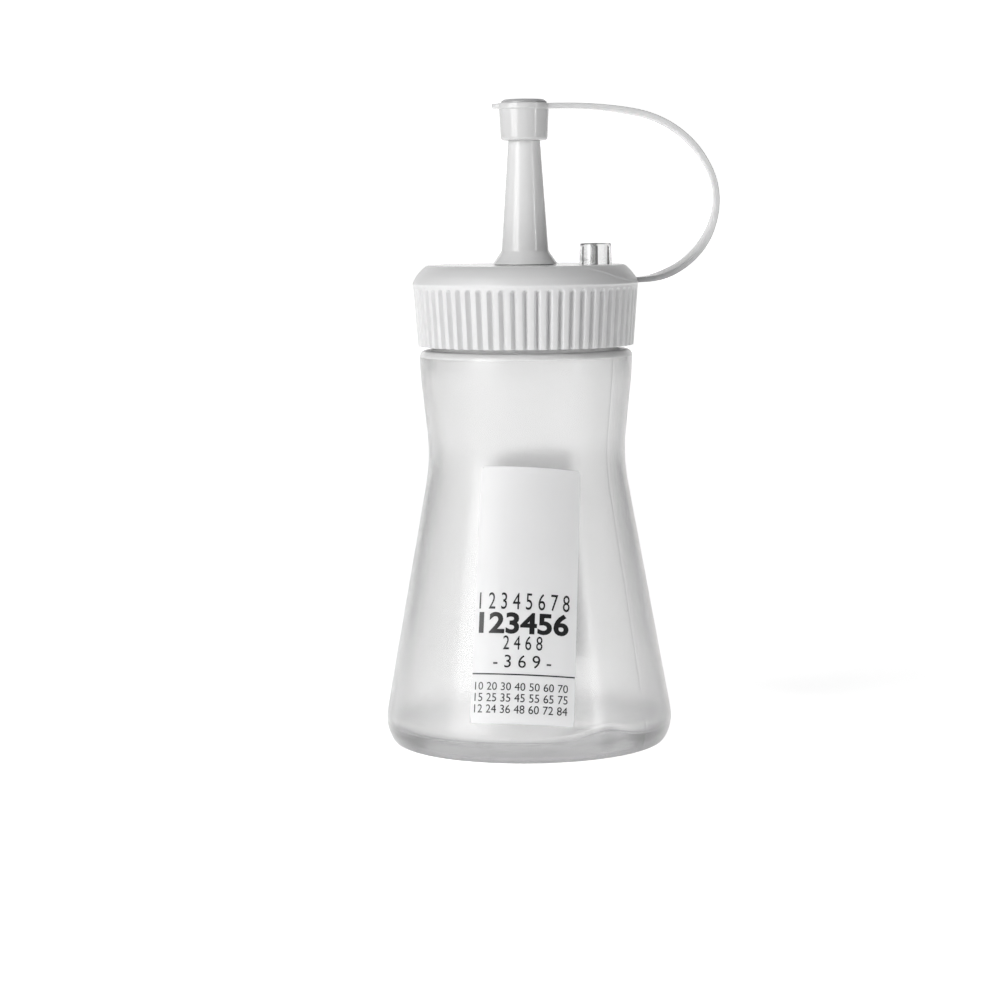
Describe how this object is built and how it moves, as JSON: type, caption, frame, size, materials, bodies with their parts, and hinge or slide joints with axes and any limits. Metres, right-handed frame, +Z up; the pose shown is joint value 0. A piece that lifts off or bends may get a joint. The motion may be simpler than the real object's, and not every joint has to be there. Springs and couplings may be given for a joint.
{
  "type": "squeeze sauce bottle",
  "caption": "Waisted clear squeeze bottle with a ribbed screw cap, tall tapered nozzle, parking post and a tip cap tied to the cap by a flexible strap.",
  "frame": {"origin": "on the bottle's axis, in the plane of its standing ring", "axes": "+Z up along the bottle's axis, +X towards the strap's loop, -Y towards the front label"},
  "size_m": [0.0814, 0.0692, 0.155],
  "materials": {
    "bottle_clear": "clear, slightly hazy",
    "label_film": "satin film",
    "seal_soft": "matt",
    "cap_white": "satin, moulded",
    "nozzle_white": "satin, faintly see-through",
    "post_clear": "clear"
  },
  "bodies": {
    "bottle": {"bottle_body": "bottle_clear", "front_label": "label_film", "back_label": "label_film"},
    "seal": {"seal_ring": "seal_soft"},
    "cap": {"screw_cap": "cap_white", "nozzle": "nozzle_white", "parking_post": "post_clear"},
    "strap_root_link": {"strap_root": "nozzle_white"},
    "strap_lower_link": {"strap_lower": "nozzle_white"},
    "strap_side_link": {"strap_side": "nozzle_white"},
    "strap_upper_link": {"strap_upper": "nozzle_white"},
    "tip": {"tip_cap": "nozzle_white"}
  },
  "joints": [
    {"name": "cap_lift", "type": "slide", "parent": "bottle", "child": "seal", "axis": [0, 0, 1], "range_m": [0, 0.009]},
    {"name": "cap_turn", "type": "hinge", "parent": "seal", "child": "cap", "pos_m": [0, 0, 0.096], "axis": [0, 0, 1], "range_deg": [0, 720.1]},
    {"name": "strap_root_bend", "type": "hinge", "parent": "cap", "child": "strap_root_link", "pos_m": [0.0284, 0, 0.11165], "axis": [0, 1, 0], "range_deg": [0, 25.01]},
    {"name": "strap_lower_bend", "type": "hinge", "parent": "strap_root_link", "child": "strap_lower_link", "pos_m": [0.04093, 0, 0.11784], "axis": [0, 1, 0], "range_deg": [0, 35.01]},
    {"name": "strap_side_bend", "type": "hinge", "parent": "strap_lower_link", "child": "strap_side_link", "pos_m": [0.04471, 0, 0.13741], "axis": [0, 1, 0], "range_deg": [0, 40.01]},
    {"name": "strap_upper_bend", "type": "hinge", "parent": "strap_side_link", "child": "strap_upper_link", "pos_m": [0.0375, 0, 0.14674], "axis": [0, 1, 0], "range_deg": [0, 40.01]},
    {"name": "tip_cap_flip", "type": "hinge", "parent": "strap_upper_link", "child": "tip", "pos_m": [0.02681, 0, 0.1517], "axis": [0, 1, 0], "range_deg": [0, 50]}
  ],
  "couplings": [
    {"joint": "cap_turn", "follows": "cap_lift", "rad_per_m": 1396.3},
    {"joint": "strap_root_bend", "follows": "tip_cap_flip", "ratio": 0.5},
    {"joint": "strap_lower_bend", "follows": "tip_cap_flip", "ratio": 0.7},
    {"joint": "strap_side_bend", "follows": "tip_cap_flip", "ratio": 0.8},
    {"joint": "strap_upper_bend", "follows": "tip_cap_flip", "ratio": 0.8}
  ]
}
